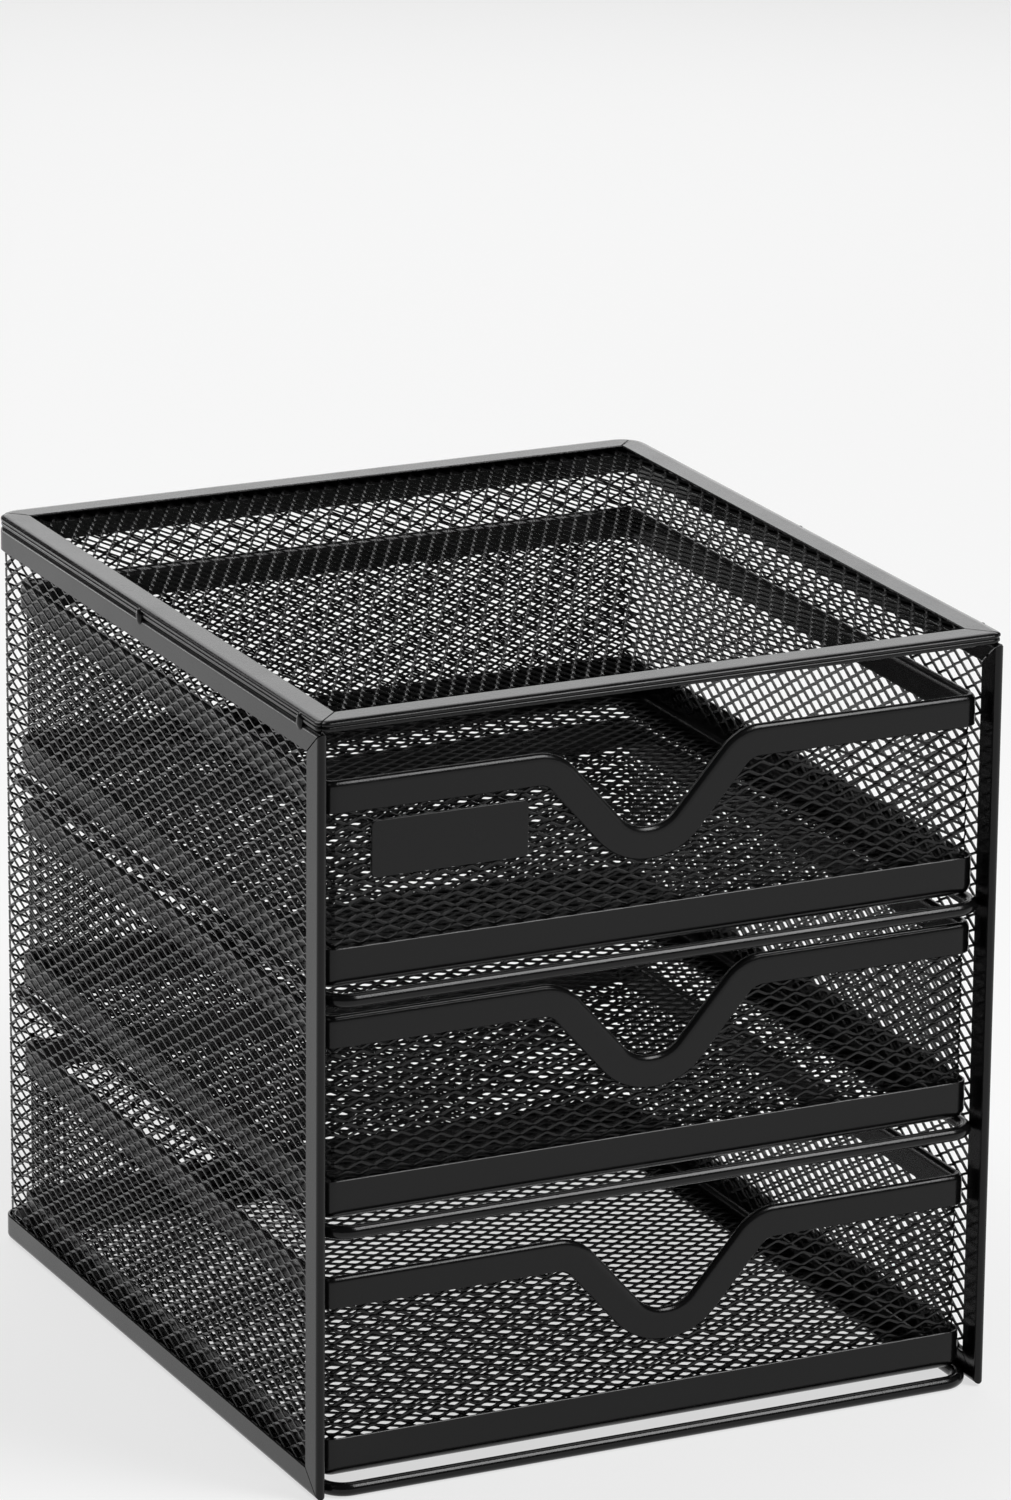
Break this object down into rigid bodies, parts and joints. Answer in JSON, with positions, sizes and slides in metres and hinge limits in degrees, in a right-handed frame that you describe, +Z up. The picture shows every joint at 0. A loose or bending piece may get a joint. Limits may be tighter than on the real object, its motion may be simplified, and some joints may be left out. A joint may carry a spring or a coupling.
{
  "type": "mesh desk organizer with drawers",
  "caption": "Black metal mesh desk organizer: an open-fronted mesh box with a flat lid and stacked sliding drawers with finger cut-outs.",
  "frame": {"origin": "centre of the footprint at desk level", "axes": "+Z up, the drawers' fronts face -Y, +X to the right seen from the front"},
  "size_m": [0.15, 0.1644, 0.161],
  "materials": {
    "strip_coat": "semi-gloss black powder coat",
    "mesh_coat": "semi-gloss black powder coat",
    "rod_coat": "semi-gloss black powder coat",
    "label_coat": "satin black"
  },
  "bodies": {
    "housing": {"left_post": "strip_coat", "right_post": "strip_coat", "top_rim": "strip_coat", "bottom_rim": "strip_coat", "left_mesh": "mesh_coat", "right_mesh": "mesh_coat", "back_mesh": "mesh_coat", "wall_corners": "mesh_coat", "lid_front_strip": "strip_coat", "lid_back_strip": "strip_coat", "lid_left_strip": "strip_coat", "lid_right_strip": "strip_coat", "lid_mesh": "mesh_coat", "bottom_runner": "rod_coat", "middle_runner": "rod_coat", "top_runner": "rod_coat"},
    "top_drawer": {"top_drawer_front_rim": "strip_coat", "top_drawer_side_rim": "strip_coat", "top_drawer_front_band": "strip_coat", "top_drawer_side_band": "strip_coat", "top_drawer_front_mesh_left": "mesh_coat", "top_drawer_front_mesh_right": "mesh_coat", "top_drawer_left_mesh": "mesh_coat", "top_drawer_right_mesh": "mesh_coat", "top_drawer_back_mesh": "mesh_coat", "top_drawer_floor_mesh": "mesh_coat", "top_drawer_corners": "mesh_coat", "label_plate": "label_coat"},
    "middle_drawer": {"middle_drawer_front_rim": "strip_coat", "middle_drawer_side_rim": "strip_coat", "middle_drawer_front_band": "strip_coat", "middle_drawer_side_band": "strip_coat", "middle_drawer_front_mesh_left": "mesh_coat", "middle_drawer_front_mesh_right": "mesh_coat", "middle_drawer_left_mesh": "mesh_coat", "middle_drawer_right_mesh": "mesh_coat", "middle_drawer_back_mesh": "mesh_coat", "middle_drawer_floor_mesh": "mesh_coat", "middle_drawer_corners": "mesh_coat"},
    "bottom_drawer": {"bottom_drawer_front_rim": "strip_coat", "bottom_drawer_side_rim": "strip_coat", "bottom_drawer_front_band": "strip_coat", "bottom_drawer_side_band": "strip_coat", "bottom_drawer_front_mesh_left": "mesh_coat", "bottom_drawer_front_mesh_right": "mesh_coat", "bottom_drawer_left_mesh": "mesh_coat", "bottom_drawer_right_mesh": "mesh_coat", "bottom_drawer_back_mesh": "mesh_coat", "bottom_drawer_floor_mesh": "mesh_coat", "bottom_drawer_corners": "mesh_coat"}
  },
  "joints": [
    {"name": "top_drawer_slide", "type": "slide", "parent": "housing", "child": "top_drawer", "axis": [0, -1, 0], "range_m": [0, 0.11]},
    {"name": "middle_drawer_slide", "type": "slide", "parent": "housing", "child": "middle_drawer", "axis": [0, -1, 0], "range_m": [0, 0.11]},
    {"name": "bottom_drawer_slide", "type": "slide", "parent": "housing", "child": "bottom_drawer", "axis": [0, -1, 0], "range_m": [0, 0.11]}
  ]
}
